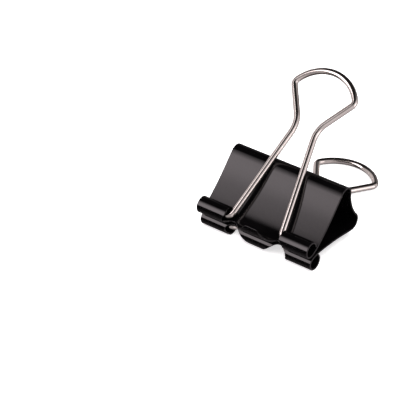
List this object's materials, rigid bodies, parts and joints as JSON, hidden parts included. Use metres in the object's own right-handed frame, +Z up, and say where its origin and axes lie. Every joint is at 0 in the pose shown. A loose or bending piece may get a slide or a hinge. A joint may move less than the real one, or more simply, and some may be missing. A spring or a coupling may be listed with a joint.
{
  "type": "binder clip",
  "caption": "Sheet-steel spring clip with a triangular body and rolled jaw edges that grips stacked sheets; wire handles squeeze the jaws open, then fold back or forward.",
  "frame": {"origin": "on the table, under the middle of the whole clip as it lies on its lower barrels and the lower handle's end", "axes": "+X along the hinge pins, +Y from the jaws to the spine, +Z up from the table"},
  "size_m": [0.032, 0.0454, 0.0337],
  "materials": {
    "black_enamel": "gloss",
    "nickel_wire": "polished"
  },
  "bodies": {
    "lower_jaw": {"spring_lower_half": "black_enamel"},
    "upper_jaw": {"spring_upper_half": "black_enamel"},
    "upper_handle": {"upper_handle": "nickel_wire"},
    "lower_handle": {"lower_handle": "nickel_wire"}
  },
  "joints": [
    {"name": "jaw_spring", "type": "hinge", "parent": "lower_jaw", "child": "upper_jaw", "pos_m": [0, -0.00416, 0.00966], "axis": [-1, 0, 0], "range_deg": [0, 45], "stiffness_Nm_per_rad": 0.4, "springref_deg": -0.86},
    {"name": "upper_handle_hinge", "type": "hinge", "parent": "upper_jaw", "child": "upper_handle", "pos_m": [0, -0.0206, 0.00616], "axis": [1, 0, 0], "range_deg": [0, 160.48]},
    {"name": "lower_handle_hinge", "type": "hinge", "parent": "lower_jaw", "child": "lower_handle", "pos_m": [0, -0.01918, 0.0021], "axis": [-1, 0, 0], "range_deg": [0, 160.48]}
  ]
}
